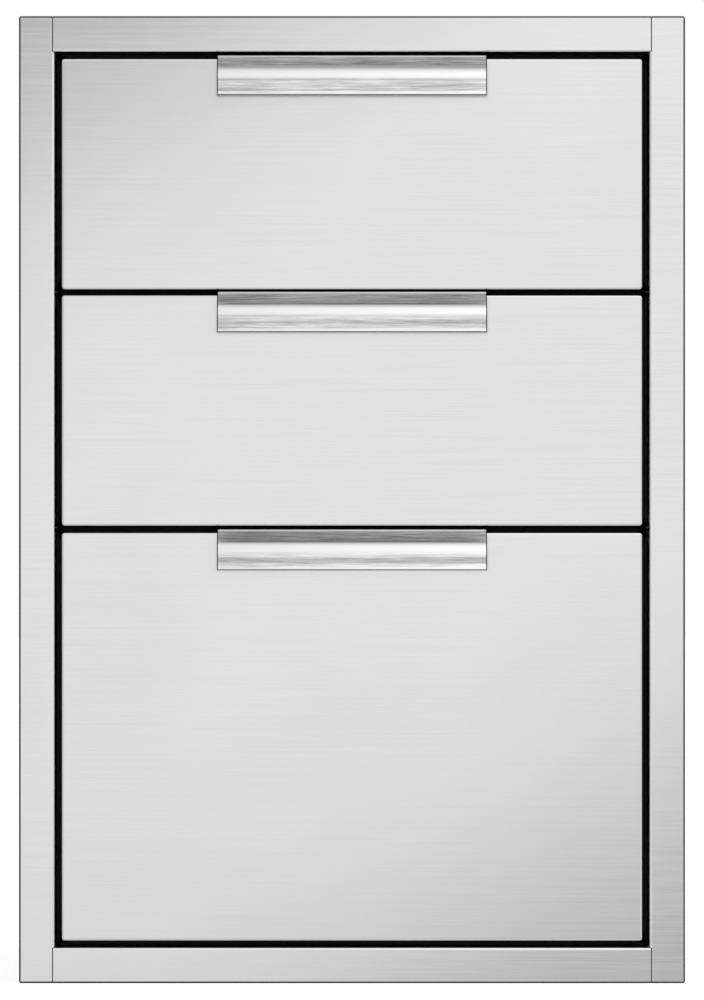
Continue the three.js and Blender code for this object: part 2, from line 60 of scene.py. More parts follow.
# The studio: a pale painted floor level with the frame's lower edge, under an even white room.
# The floor looks white wherever no shadow lies on it, and the steel mirrors the room's white
# lower walls in its place.
def linear(code):
    """A colour written as sRGB hex, as Blender's linear red, green, blue and alpha."""
    parts = [int(code[i:i + 2], 16) / 255 for i in (0, 2, 4)]
    return (*[p / 12.92 if p <= 0.04045 else ((p + 0.055) / 1.055) ** 2.4 for p in parts], 1.0)


def add(tree, kind, sockets=(), links=(), **settings):
    """A new node of that kind, with its settings, the values of its sockets, and its links."""
    node = tree.nodes.new(kind)
    for name, value in settings.items():
        setattr(node, name, value)
    for name, value in dict(sockets).items():
        node.inputs[name].default_value = value
    for name, source in dict(links).items():
        tree.links.new(source, node.inputs[name])
    return node


FLOOR_REACH = 15.0  # metres each way
FLOOR_LEVEL = -21.5
FLOOR_GLOW = 0.5  # what the camera sees on top of the paint, which makes it white
floor_paint = bpy.data.materials.new("matt floor paint")
floor_paint.use_nodes = True
tree = floor_paint.node_tree
tree.nodes.clear()
seen = add(tree, "ShaderNodeLightPath")
under = add(tree, "ShaderNodeNewGeometry")
paint = add(tree, "ShaderNodeBsdfDiffuse", {"Color": linear("efefef")})
glow = add(
    tree, "ShaderNodeMath", {1: FLOOR_GLOW}, {0: seen.outputs["Is Camera Ray"]}, operation="MULTIPLY",
)
lift = add(tree, "ShaderNodeEmission", links={"Strength": glow.outputs[0]})
both = add(tree, "ShaderNodeAddShader", links={0: paint.outputs[0], 1: lift.outputs[0]})
clear = add(tree, "ShaderNodeBsdfTransparent")
mirrored = add(
    tree, "ShaderNodeMath",
    links={0: seen.outputs["Is Glossy Ray"], 1: seen.outputs["Is Shadow Ray"]}, operation="MAXIMUM",
)
passed = add(
    tree, "ShaderNodeMath",
    links={0: mirrored.outputs[0], 1: under.outputs["Backfacing"]}, operation="MAXIMUM",
)
floor_mix = add(
    tree, "ShaderNodeMixShader", links={0: passed.outputs[0], 1: both.outputs[0], 2: clear.outputs[0]},
)
add(tree, "ShaderNodeOutputMaterial", links={"Surface": floor_mix.outputs[0]})

floor_mesh = bpy.data.meshes.new("floor")
bm = bmesh.new()
bmesh.ops.create_grid(bm, x_segments=1, y_segments=1, size=FLOOR_REACH)
bmesh.ops.translate(bm, verts=bm.verts, vec=(0.0, 0.0, FLOOR_LEVEL * MM))
bm.to_mesh(floor_mesh)
bm.free()
floor_mesh.materials.append(floor_paint)
floor = bpy.data.objects.new("floor", floor_mesh)
bpy.context.collection.objects.link(floor)

# The room's light: white walls, a little brighter towards the ceiling and dimmer on the left, and
# a dim patch of ceiling, which is what the sloping top of each handle shows. The wall behind the
# camera is dim too, and a slanted soft box stands in front of it. The camera sees plain white.
LOW_LIGHT = 0.74
HIGH_LIGHT = 0.95
LEFT_SHARE = 0.75
CEILING_SHARE = 0.46
BEHIND_CAMERA_SHARE = 0.625
# Where each change of level starts and ends, by the way that one looks from the unit: X to the
# right, Y to the back and Z up, each from -1 to 1.
RISE_LIMITS = (-0.6, 0.4)
LEFT_LIMITS = (-0.65, -0.1)
BEHIND_CAMERA_SIDES = (-0.975, -0.9)
BEHIND_CAMERA_TOP = (0.2, 0.45)
CEILING_FRONT = (-0.42, 0.12)
CEILING_BACK = (0.4, 0.55)
CEILING_FOOT = (0.5, 0.7)
CEILING_SIDES = (0.3, 0.55)
room = bpy.data.worlds.new("white room")
room.use_nodes = True
bpy.context.scene.world = room
tree = room.node_tree
tree.nodes.clear()
toward = add(tree, "ShaderNodeTexCoord")
way = add(tree, "ShaderNodeSeparateXYZ", links={0: toward.outputs["Generated"]})
sideways = add(tree, "ShaderNodeMath", links={0: way.outputs["X"]}, operation="ABSOLUTE")


def fading(value, start, end, from_level, to_level):
    """A light level that passes smoothly from one value to another."""
    levels = {"From Min": start, "From Max": end, "To Min": from_level, "To Max": to_level}
    made = add(tree, "ShaderNodeMapRange", levels, {"Value": value}, interpolation_type="SMOOTHSTEP")
    return made.outputs[0]


def product(levels):
    """The product of light levels."""
    made = levels[0]
    for other in levels[1:]:
        made = add(tree, "ShaderNodeMath", links={0: made, 1: other}, operation="MULTIPLY").outputs[0]
    return made


def dimmed(share, limits):
    """What a dim patch leaves of the light, where the limits say how far the patch reaches."""
    made = add(
        tree, "ShaderNodeMath", {1: share - 1.0, 2: 1.0}, {0: product(limits)}, operation="MULTIPLY_ADD",
    )
    return made.outputs[0]


level = product([
    fading(way.outputs["Z"], *RISE_LIMITS, LOW_LIGHT, HIGH_LIGHT),
    fading(way.outputs["X"], *LEFT_LIMITS, LEFT_SHARE, 1.0),
    dimmed(BEHIND_CAMERA_SHARE, [
        fading(way.outputs["Y"], *BEHIND_CAMERA_SIDES, 1.0, 0.0),
        fading(way.outputs["Z"], *BEHIND_CAMERA_TOP, 1.0, 0.0),
    ]),
    dimmed(CEILING_SHARE, [
        fading(way.outputs["Y"], *CEILING_FRONT, 0.0, 1.0),
        fading(way.outputs["Y"], *CEILING_BACK, 1.0, 0.0),
        fading(way.outputs["Z"], *CEILING_FOOT, 0.0, 1.0),
        fading(sideways.outputs[0], *CEILING_SIDES, 1.0, 0.0),
    ]),
])
seen = add(tree, "ShaderNodeLightPath")
light = add(tree, "ShaderNodeBackground", {"Color": (1.0, 1.0, 1.0, 1.0)}, {"Strength": level})
plain = add(tree, "ShaderNodeBackground", {"Color": (1.0, 1.0, 1.0, 1.0)})
room_mix = add(
    tree, "ShaderNodeMixShader",
    links={0: seen.outputs["Is Camera Ray"], 1: light.outputs[0], 2: plain.outputs[0]},
)
add(tree, "ShaderNodeOutputWorld", links={"Surface": room_mix.outputs[0]})


# Two soft boxes: a wide one high in front and to the right, which the bowed handles mirror as
# their bright line, and a slanted one before the camera, which leaves the upper left and lower
# right of the unit a little darker. Their cloth glows less towards its edges.
def soft_box(name, place, aim, width, height, power, fade, turn=0.0):
    """A lamp that the camera doesn't see. Places are in millimetres and the turn in degrees; fade
    is the share of the width and of the height over which each edge grows dark."""
    lamp = bpy.data.lights.new(name, "AREA")
    lamp.shape = "RECTANGLE"
    lamp.size = width * MM
    lamp.size_y = height * MM
    lamp.energy = power
    lamp.use_nodes = True
    tree = lamp.node_tree
    tree.nodes.clear()
    cloth = add(tree, "ShaderNodeNewGeometry")
    place_on = add(tree, "ShaderNodeSeparateXYZ", links={0: cloth.outputs["Parametric"]})
    glow = add(tree, "ShaderNodeEmission")
    strength = []
    for axis, share in zip("XY", fade):
        offset = add(tree, "ShaderNodeMath", {1: 0.5}, {0: place_on.outputs[axis]}, operation="SUBTRACT")
        distance = add(tree, "ShaderNodeMath", links={0: offset.outputs[0]}, operation="ABSOLUTE")
        strength.append(add(
            tree, "ShaderNodeMapRange", {"From Min": 0.5, "From Max": 0.5 - share},
            {"Value": distance.outputs[0]}, interpolation_type="SMOOTHSTEP",
        ))
    both = add(
        tree, "ShaderNodeMath",
        links={0: strength[0].outputs[0], 1: strength[1].outputs[0]}, operation="MULTIPLY",
    )
    tree.links.new(both.outputs[0], glow.inputs["Strength"])
    add(tree, "ShaderNodeOutputLight", links={"Surface": glow.outputs[0]})
    box = bpy.data.objects.new(name, lamp)
    box.location = Vector(place) * MM
    facing = (Vector(aim) - Vector(place)).to_track_quat("-Z", "Y").to_matrix().to_4x4()
    box.rotation_euler = (facing @ Matrix.Rotation(math.radians(turn), 4, "Z")).to_euler()
    box.visible_camera = False
    bpy.context.collection.objects.link(box)


soft_box(
    "high soft box", place=(950.0, -1560.0, 1706.0), aim=(950.0, 0.0, MIDDLE),
    width=2300.0, height=3300.0, power=9.9, fade=(0.152, 0.42),
)
soft_box(
    "front soft box", place=(37.0, -1600.0, 343.0), aim=(37.0, 0.0, 343.0),
    width=966.0, height=3985.0, power=5.95, fade=(0.222, 0.5), turn=-60.0,
)


# Face frame: four strips of 1.2 mm stainless steel, each with a face, an inner return, an outer return
# and a hem. The stiles run the full height with welded, ground ends; the rails butt between them, and
# black sealant fills the narrow joints: a dark fill that also stands in for the shadow in them. All is
# brushed from side to side.
def fold_on(sheet, tip, start, heading, steps, across, up, bend_step=12.0):
    """Folds a sheet on from one of its edges, as on a press brake. A number is a flat, a pair is a
    bend's radius and turn, and the section lies in the plane of across and up."""
    across, up = Vector(across), Vector(up)
    at, angle = Vector(start), math.radians(heading)
    for step in steps:
        if isinstance(step, tuple):
            radius, turn = step
            reach = math.copysign(radius, turn)
            centre = at + Vector((-math.sin(angle), math.cos(angle))) * reach
            made = bmesh.ops.spin(
                sheet, geom=tip, cent=(across * centre.x + up * centre.y) * MM, axis=across.cross(up),
                dvec=(0.0, 0.0, 0.0), angle=math.radians(turn), steps=math.ceil(abs(turn) / bend_step),
                use_merge=False, use_normal_flip=False, use_duplicate=False,
            )["geom_last"]
            angle += math.radians(turn)
            at = centre - Vector((-math.sin(angle), math.cos(angle))) * reach
        else:
            made = bmesh.ops.extrude_edge_only(sheet, edges=[tip[-1]])["geom"]
            stride = Vector((math.cos(angle), math.sin(angle))) * step
            corners = [g for g in made if isinstance(g, bmesh.types.BMVert)]
            bmesh.ops.translate(sheet, verts=corners, vec=(across * stride.x + up * stride.y) * MM)
            at += stride
        corners = [g for g in made if isinstance(g, bmesh.types.BMVert)]
        edge = next(
            g for g in made if isinstance(g, bmesh.types.BMEdge) and all(v in corners for v in g.verts)
        )
        tip = [*corners, edge]
    return sheet


def folded(start, heading, steps, across, up, ends, bend_step=12.0):
    """A strip folded from flat sheet, with no thickness yet. Its section runs straight between its
    two ends."""
    run = Vector([abs(part) for part in Vector(across).cross(Vector(up))])
    sheet = bmesh.new()
    foot = Vector(across) * start[0] + Vector(up) * start[1]
    tip = [sheet.verts.new((foot + run * end) * MM) for end in ends]
    tip.append(sheet.edges.new(tip))
    return fold_on(sheet, tip, start, heading, steps, across, up, bend_step)


def cut(sheet, place, normal):
    """Scores a sheet along a plane."""
    bmesh.ops.bisect_plane(
        sheet, geom=[*sheet.verts, *sheet.edges, *sheet.faces],
        plane_co=Vector(place) * MM, plane_no=normal,
    )


NEAR = 1e-6  # metres within which two places are the same


def rim(sheet, axis, place):
    """The longest free edge that lies at that place along an axis, to fold on from."""
    free = [
        e for e in sheet.edges
        if e.is_boundary and all(abs(v.co[axis] - place * MM) < NEAR for v in e.verts)
    ]
    edge = max(free, key=lambda e: e.calc_length())
    return [*edge.verts, edge]


def thicken(sheet, thickness, inward):
    """Gives a sheet its thickness, towards the side that inward points to from its largest face."""
    bmesh.ops.recalc_face_normals(sheet, faces=sheet.faces[:])
    widest = max(sheet.faces, key=lambda f: f.calc_area())
    if widest.normal.dot(Vector(inward)) > 0:
        bmesh.ops.reverse_faces(sheet, faces=sheet.faces[:])
    bmesh.ops.solidify(sheet, geom=sheet.faces[:], thickness=thickness * MM)
    return sheet


def turned_over(sheet, level=MIDDLE):
    """The same piece for the other side, half a turn about the line that runs back at a height."""
    pivot = Matrix.Translation((0.0, 0.0, level * MM))
    half_turn = pivot @ Matrix.Rotation(math.pi, 4, "Y") @ pivot.inverted()
    bmesh.ops.transform(sheet, matrix=half_turn, verts=sheet.verts)
    return sheet


def plate(low, high):
    """A flat sheet or block between two corners."""
    low, high = Vector(low), Vector(high)
    made = bmesh.new()
    bmesh.ops.create_cube(made, size=1.0)
    bmesh.ops.scale(made, verts=made.verts, vec=(high - low) * MM)
    bmesh.ops.translate(made, verts=made.verts, vec=(low + high) / 2 * MM)
    return made


def round_over(shape, edges, radius, segments):
    """Rounds edges to a radius."""
    bmesh.ops.bevel(
        shape, geom=edges, offset=radius * MM, segments=segments,
        profile=0.5, affect="EDGES", material=-1,
    )


def along(points, place):
    """A value at a place between given ones."""
    if place <= points[0][0]:
        return points[0][1]
    for (start, low), (end, high) in zip(points, points[1:]):
        if place <= end:
            return low + (high - low) * (place - start) / (end - start)
    return points[-1][1]


BREAK_ANGLE = 50.0  # an edge that turns by more than this is broken


def finished(sheet, name, finish, body, node=None, edge=0.15):
    """Turns a mesh into a piece of the unit: smooth bends, its finish and its body. edge is the
    width in millimetres of its broken edges."""
    mesh = bpy.data.meshes.new(name)
    bmesh.ops.recalc_face_normals(sheet, faces=sheet.faces[:])
    sheet.to_mesh(mesh)
    sheet.free()
    mesh.shade_smooth()
    mesh.materials.append(finish)
    piece = bpy.data.objects.new(name, mesh)
    bpy.context.collection.objects.link(piece)
    if edge:
        broken = piece.modifiers.new("broken edges", "BEVEL")
        broken.width = edge * MM
        broken.segments = 2
        broken.limit_method = "ANGLE"
        broken.angle_limit = math.radians(BREAK_ANGLE)
    piece.modifiers.new("flat faces stay flat", "WEIGHTED_NORMAL").keep_sharp = True
    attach(piece, body)
    if node:
        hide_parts(node)


CLOUDS_PER_METRE = 9.0
CLOUD_SHARE = 0.3
TONE_SPAN = (0.36, 0.64)  # the part of the noise that the two tones span
GLOSS_SPAN = (0.3, 0.7)
MARK_DEPTH = 0.02
RUBBED_RELIEF = 0.3  # what rubbing leaves of the relief


def steel(
    name, light_tone, dark_tone, roughness, grain,
    spread=0.05, relief=0.25, painted_shade_tone=None, painted_highlight_tone=None,
):
    """Stainless or plated steel sheet. grain is the length, depth and height of its marks in mm: a
    brushed sheet has long thin ones, a rolled one has finer, fainter ones. Its edge attribute says where
    shade is painted dark onto the steel, and another attribute says where the steel is worn smooth and
    painted bright as a highlight."""
    material = bpy.data.materials.new(name)
    material.use_nodes = True
    tree = material.node_tree
    shader = tree.nodes["Principled BSDF"]
    shader.inputs["Metallic"].default_value = 1.0
    place = add(tree, "ShaderNodeTexCoord")
    scale = [1.0 / (size * MM) for size in grain]
    marks = add(tree, "ShaderNodeMapping", {"Scale": scale}, {"Vector": place.outputs["Object"]})
    streaks = add(
        tree, "ShaderNodeTexNoise", {"Scale": 1.0, "Detail": 5.0, "Roughness": 0.65},
        {"Vector": marks.outputs[0]},
    )
    clouds = add(
        tree, "ShaderNodeTexNoise", {"Scale": CLOUDS_PER_METRE, "Detail": 2.0},
        {"Vector": place.outputs["Object"]},
    )
    blend = add(
        tree, "ShaderNodeMix", {"Factor": CLOUD_SHARE},
        {"A": streaks.outputs[0], "B": clouds.outputs[0]}, data_type="FLOAT",
    )
    tone = add(tree, "ShaderNodeValToRGB", links={0: blend.outputs[0]})
    for stop, position, shade in zip(tone.color_ramp.elements, TONE_SPAN, (dark_tone, light_tone)):
        stop.position = position
        stop.color = linear(shade)
    skin = add(
        tree, "ShaderNodeBump", {"Strength": relief, "Distance": MARK_DEPTH * MM},
        {"Height": streaks.outputs[0]},
    )
    tree.links.new(skin.outputs[0], shader.inputs["Normal"])
    colour = tone.outputs[0]
    # Where the rubbed attribute says, the steel is worn smoother, with flatter relief, and its colour is
    # a painted highlight.
    if painted_highlight_tone:
        rubbed_highlight = add(tree, "ShaderNodeAttribute", attribute_name="rubbed_highlight")
        highlighted = add(
            tree, "ShaderNodeMix", {"B": linear(painted_highlight_tone)},
            {"Factor": rubbed_highlight.outputs["Fac"], "A": colour}, data_type="RGBA",
        )
        colour = highlighted.outputs["Result"]
        flatter = add(
            tree, "ShaderNodeMapRange", {"To Min": relief, "To Max": RUBBED_RELIEF * relief},
            {"Value": rubbed_highlight.outputs["Fac"]},
        )
        tree.links.new(flatter.outputs[0], skin.inputs["Strength"])
    # Painted shade: where the edge attribute says, the colour is mixed towards a dark tone.
    if painted_shade_tone:
        edge = add(tree, "ShaderNodeAttribute", attribute_name="edge")
        shaded = add(
            tree, "ShaderNodeMix", {"B": linear(painted_shade_tone)},
            {"Factor": edge.outputs["Fac"], "A": colour}, data_type="RGBA",
        )
        colour = shaded.outputs["Result"]
    tree.links.new(colour, shader.inputs["Base Color"])
    least, most = GLOSS_SPAN
    sheen = add(
        tree, "ShaderNodeMapRange",
        {"From Min": least, "From Max": most, "To Min": roughness - spread, "To Max": roughness + spread},
        {"Value": streaks.outputs[0]},
    )
    tree.links.new(sheen.outputs[0], shader.inputs["Roughness"])
    return material


FRAME_SHEET = 1.2
FRAME_BEND = 1.6
FRAME_HALF = 323.0  # height
FRAME_SIDE = 222.49  # a hair inside the solid's, as the broken corner of the hem bulges
OPENING_HALF = 198.5
OPENING_FOOT = 2.5
HEM_FLAT = 7.4
RAIL_FLAT = 20.8  # the flat of a rail's face
RAIL_RISE = 8.8  # the flat of its outer return
RETURN_BACK = 30.0
RETURN_FLAT = 40.4
STILE_CUT = 200.25  # where a stile's face is cut back for the rail
RAIL_END = 199.65
NOTCH = 298.0  # half the height between the stile's two notches
RAIL_STEPS = [
    RETURN_FLAT, (FRAME_BEND, 90.0), RAIL_FLAT, (FRAME_BEND, 90.0),
    RAIL_RISE, (FRAME_BEND, 90.0), HEM_FLAT,
]
# How dark the painted shade on the outer folds is, by the depth behind the face and by the way round the
# bend.
PAINTED_SHADE_DEPTHS = [(1.2, 1.0), (1.6, 0.0)]
PAINTED_SHADE_BEND = [(0.2, 0.0), (0.7, 1.0)]

# Grade 304 sheet, brushed with a belt before folding: long fine hairlines and a satin glow. The outer
# folds carry painted shade, a dark line that stands for the dark they mirror.
brushed = steel(
    "stainless sheet, belt brushed sideways", "e4e4e4", "dbdbdb", 0.18, (90.0, 0.7, 0.7),
    relief=0.06, painted_shade_tone="141414",
)


def stile():
    """The right-hand stile."""
    low = (STILE_CUT, FACE, MIDDLE - FRAME_HALF)
    high = (FRAME_SIDE, -FRAME_BEND, MIDDLE + FRAME_HALF)
    sheet = plate(low, high)
    open_sides = [f for f in sheet.faces if f.normal.x < -0.5 or f.normal.y > 0.5]
    bmesh.ops.delete(sheet, geom=open_sides, context="FACES")
    round_over(sheet, [e for e in sheet.edges if not e.is_boundary], FRAME_BEND, 6)
    for level in (MIDDLE - NOTCH, MIDDLE + NOTCH):
        cut(sheet, (0, 0, level), (0, 0, 1))
    fold_on(
        sheet, rim(sheet, 1, -FRAME_BEND), (FRAME_SIDE, -FRAME_BEND), 90.0,
        [(FRAME_BEND, 90.0), HEM_FLAT], (1, 0, 0), (0, 1, 0),
    )
    fold_on(
        sheet, rim(sheet, 0, STILE_CUT), (STILE_CUT, FACE), 180.0,
        [STILE_CUT - OPENING_HALF - FRAME_BEND, (FRAME_BEND, -90.0), RETURN_FLAT], (1, 0, 0), (0, 1, 0),
    )
    return thicken(sheet, FRAME_SHEET, (1, 0, 0))


def rail():
    """The bottom rail."""
    sheet = folded(
        (RETURN_BACK, OPENING_FOOT), 180.0, RAIL_STEPS,
        (0, 1, 0), (0, 0, 1), (-RAIL_END, RAIL_END),
    )
    return thicken(sheet, FRAME_SHEET, (0, 0, -1))


for node, made in (
    ("frame_stile_right", stile()),
    ("frame_stile_left", turned_over(stile())),
    ("frame_rail_bottom", rail()),
    ("frame_rail_top", turned_over(rail())),
):
    # The edge attribute is painted shade: a dark line along each outer fold, for the dark that the fold
    # mirrors.
    painted_shade = made.verts.layers.float.new("edge")
    for corner in made.verts:
        x, y, z = corner.co / MM
        past = max(abs(x) - FRAME_SIDE, abs(z - MIDDLE) - FRAME_HALF) + FRAME_BEND
        corner[painted_shade] = along(PAINTED_SHADE_DEPTHS, y - FACE) * along(PAINTED_SHADE_BEND, past)
    finished(made, f"{node}_strip", brushed, "cabinet", node)


# Joint sealant: a bead of black silicone in each narrow joint between a stile and a rail, which also
# stands in for the joint's shadow, as painted shade. It lies a little below the face, and is rounded at
# its ends as the folds are.
SEALANT_SHADE_XS = (199.68, 200.22)
SEALANT_SHADE_YS = (-11.6, -9.2)
SEALANT_SHADE_ZS = (600.75, 624.35)  # in the upper joints
SEALANT_SHADE_ROUND = 1.5

# Black EPDM for the seals and the foam tape, and silicone for the joints: nearly black, with no
# shine to speak of.
DUST_PER_METRE = 260.0
DUST_DEPTH = 0.05
rubber = bpy.data.materials.new("black EPDM rubber, extruded")
rubber.use_nodes = True
tree = rubber.node_tree
shader = tree.nodes["Principled BSDF"]
shader.inputs["IOR"].default_value = 1.5
place = add(tree, "ShaderNodeTexCoord")
dust = add(
    tree, "ShaderNodeTexNoise", {"Scale": DUST_PER_METRE, "Detail": 3.0},
    {"Vector": place.outputs["Object"]},
)
tone = add(tree, "ShaderNodeValToRGB", links={0: dust.outputs[0]})
tone.color_ramp.elements[0].color = linear("0c0c0c")
tone.color_ramp.elements[1].color = linear("181818")
tree.links.new(tone.outputs[0], shader.inputs["Base Color"])
dull = add(tree, "ShaderNodeMapRange", {"To Min": 0.75, "To Max": 0.9}, {"Value": dust.outputs[0]})
tree.links.new(dull.outputs[0], shader.inputs["Roughness"])
skin = add(
    tree, "ShaderNodeBump", {"Strength": 0.3, "Distance": DUST_DEPTH * MM}, {"Height": dust.outputs[0]},
)
tree.links.new(skin.outputs[0], shader.inputs["Normal"])

for name, side in (("right", 1), ("left", -1)):
    for end, rise in (("top", 1), ("bottom", -1)):
        bead = plate(*zip(SEALANT_SHADE_XS, SEALANT_SHADE_YS, SEALANT_SHADE_ZS))
        rounds = [
            e for e in bead.edges
            if all(abs(v.co.y - SEALANT_SHADE_YS[0] * MM) < NEAR for v in e.verts)
            and abs(e.verts[0].co.z - e.verts[1].co.z) < NEAR
        ]
        round_over(bead, rounds, SEALANT_SHADE_ROUND, 4)
        if side < 0:
            bmesh.ops.transform(bead, matrix=Matrix.Scale(-1.0, 4, (1, 0, 0)), verts=bead.verts)
        if rise < 0:
            bmesh.ops.transform(bead, matrix=Matrix.Scale(-1.0, 4, (0, 0, 1)), verts=bead.verts)
            bmesh.ops.translate(bead, verts=bead.verts, vec=(0.0, 0.0, 2 * MIDDLE * MM))
        finished(bead, f"joint_shade_sealant_{end}_{name}", rubber, "cabinet", edge=0.0)


# Housing sides: 1 mm stainless panels, flanged inwards at the top, bottom and back. Four plain
# holes in each take the screws that hold the unit in the island.
def standing(place, way):
    """Puts what is made upright on the origin at a place, facing that way."""
    turned = Vector(way).to_track_quat("Z", "Y").to_matrix().to_4x4()
    return Matrix.Translation(Vector(place) * MM) @ turned


ROUND_SIDES = 24


def drill(tools, place, way, diameter, depth=6.0):
    """Adds a round punch to a set of tools."""
    radius = diameter / 2 * MM
    return bmesh.ops.create_cone(
        tools, cap_ends=True, segments=ROUND_SIDES, radius1=radius, radius2=radius,
        depth=depth * MM, matrix=standing(place, way),
    )["verts"]


def punched(sheet, tools):
    """The sheet without what lies inside the tools."""
    made = []
    for name, shape in (("sheet", sheet), ("tools", tools)):
        mesh = bpy.data.meshes.new(name)
        bmesh.ops.recalc_face_normals(shape, faces=shape.faces[:])
        shape.to_mesh(mesh)
        shape.free()
        made.append(bpy.data.objects.new(name, mesh))
        bpy.context.collection.objects.link(made[-1])
    holes = made[0].modifiers.new("holes", "BOOLEAN")
    holes.object = made[1]
    bpy.context.view_layer.update()
    with_holes = made[0].evaluated_get(bpy.context.evaluated_depsgraph_get())
    cut_mesh = bpy.data.meshes.new_from_object(with_holes)
    result = bmesh.new()
    result.from_mesh(cut_mesh)
    for thing in made:
        mesh = thing.data
        bpy.data.objects.remove(thing)
        bpy.data.meshes.remove(mesh)
    bpy.data.meshes.remove(cut_mesh)
    return result


WALL = 201.0  # outer face of the housing's sides
HOUSING_SHEET = 1.0
HOUSING_BEND = 1.5
HOUSING_FLANGE = 15.0
HOUSING_FRONT = 0.3
HOUSING_BACK = 510.0
SIDE_FOOT = 1.3
SIDE_HEIGHT = 600.4
SLIDE_FRONT = 34.0
SIDE_RELIEF = 1.8  # cut off the front corners, which clears the rails' returns
MOUNT_HOLE = 5.0
MOUNT_HOLE_YS = (60.0, 450.0)
MOUNT_HOLE_ZS = (180.9, 422.1)

# Grade 304 sheet as it comes from the mill: dull and even, with faint rolling lines. They are some
# hundredths of a millimetre apart, and are drawn coarser to show at all.
MILL_TONES = ("c9cccd", "bdc0c1", 0.34)
milled = steel("stainless sheet, mill finish", *MILL_TONES, (1.6, 70.0, 1.6), relief=0.06)


def housing_side():
    """The right-hand side."""
    flat = HOUSING_FLANGE - HOUSING_BEND
    web = SIDE_HEIGHT - 2 * HOUSING_BEND
    back = HOUSING_BACK - HOUSING_BEND
    sheet = folded(
        (WALL - HOUSING_FLANGE, SIDE_FOOT), 0.0,
        [flat, (HOUSING_BEND, 90.0), web, (HOUSING_BEND, 90.0), flat],
        (1, 0, 0), (0, 0, 1), (HOUSING_FRONT, back),
    )
    reach = SIDE_HEIGHT / 2 - SIDE_RELIEF
    cut(sheet, (0, SLIDE_FRONT, 0), (0, 1, 0))
    for level in (MIDDLE - reach, MIDDLE + reach):
        cut(sheet, (0, 0, level), (0, 0, 1))
    relief = []
    for face in sheet.faces:
        middle = face.calc_center_median() / MM
        if middle.y < SLIDE_FRONT and abs(middle.z - MIDDLE) > reach:
            relief.append(face)
    bmesh.ops.delete(sheet, geom=relief, context="FACES")
    fold_on(
        sheet, rim(sheet, 1, back), (WALL, back), 90.0,
        [(HOUSING_BEND, 90.0), flat], (1, 0, 0), (0, 1, 0),
    )
    thicken(sheet, HOUSING_SHEET, (-1, 0, 0))
    holes = bmesh.new()
    for y in MOUNT_HOLE_YS:
        for z in MOUNT_HOLE_ZS:
            drill(holes, (WALL, y, z), (1, 0, 0), MOUNT_HOLE)
    return punched(sheet, holes)


for side, made in (("right", housing_side()), ("left", turned_over(housing_side()))):
    node = f"housing_side_{side}"
    finished(made, f"{node}_panel", milled, "cabinet", node)


# Housing floor and top: 1 mm stainless sheets with a flange up or down at the back, spot welded to
# the sides' flanges. The welds leave shallow dimples. The floor has four drain holes.
WELD_DIAMETER = 6.0
WELD_DEPTH = 0.22
WELD_MARGIN = 1.1  # how much the shape that dents the sheet is larger
WELD_LINE = 193.5  # half way across the sides' flanges
WELD_YS = [60.0 + 60.0 * n for n in range(8)]
FLANGE_END = 185.5
DRAIN_HOLE = 8.0
DRAIN_X = 150.0
DRAIN_YS = (84.0, 433.0)


def dimple(tools, place, way):
    """Adds the shallow dent that a spot weld leaves."""
    dent = Matrix.Diagonal((WELD_DIAMETER / 2, WELD_DIAMETER / 2, 2 * WELD_DEPTH, 1.0))
    bmesh.ops.create_uvsphere(
        tools, u_segments=16, v_segments=8, radius=WELD_MARGIN * MM, matrix=standing(place, way) @ dent,
    )


def housing_floor(drained):
    """The floor, or the same sheet without drain holes, which is turned over for the top."""
    notch = HOUSING_BACK - HOUSING_BEND
    sheet = folded(
        (HOUSING_FRONT, 0.0), 0.0,
        [notch - HOUSING_FRONT, (HOUSING_BEND, 90.0), HOUSING_FLANGE - HOUSING_BEND],
        (0, 1, 0), (0, 0, 1), (-WALL, WALL),
    )
    for x in (-FLANGE_END, FLANGE_END):
        cut(sheet, (x, 0, 0), (1, 0, 0))
    corners = []
    for face in sheet.faces:
        middle = face.calc_center_median() / MM
        if middle.y > notch and abs(middle.x) > FLANGE_END:
            corners.append(face)
    bmesh.ops.delete(sheet, geom=corners, context="FACES")
    thicken(sheet, HOUSING_SHEET, (0, 0, 1))
    marks = bmesh.new()
    for side in (-1, 1):
        for y in WELD_YS:
            dimple(marks, (side * WELD_LINE, y, 0.0), (0, 0, 1))
        for y in DRAIN_YS if drained else ():
            drill(marks, (side * DRAIN_X, y, 0.0), (0, 0, 1), DRAIN_HOLE)
    return punched(sheet, marks)


for node, made in (
    ("housing_floor", housing_floor(True)),
    ("housing_top", turned_over(housing_floor(False))),
):
    finished(made, f"{node}_sheet", milled, "cabinet", node)


# Housing back: a flat 1 mm stainless sheet, spot welded all round to the flanges in front of it.
BACK_FACE = 511.3
HOUSING_HEIGHT = 603.0
BACK_WELD_XS = [-150.0 + 60.0 * n for n in range(6)]
BACK_WELD_ZS = [31.5 + 60.0 * n for n in range(10)]
BACK_WELD_INSET = 8.0  # from the sheet's top and bottom edges
welds = bmesh.new()
for side in (-1, 1):
    for z in BACK_WELD_ZS:
        dimple(welds, (side * WELD_LINE, BACK_FACE, z), (0, 1, 0))
    for x in BACK_WELD_XS:
        dimple(welds, (x, BACK_FACE, MIDDLE + side * (HOUSING_HEIGHT / 2 - BACK_WELD_INSET)), (0, 1, 0))
back_sheet = plate((-WALL, BACK_FACE - HOUSING_SHEET, 0.0), (WALL, BACK_FACE, HOUSING_HEIGHT))
# The same sheet, with the lines of its rolling from side to side.
milled_across = steel(
    "stainless sheet, mill finish, sideways", *MILL_TONES, (70.0, 1.6, 1.6), relief=0.06,
)
back_sheet = punched(back_sheet, welds)
finished(back_sheet, "housing_back_sheet", milled_across, "cabinet", "housing_back")


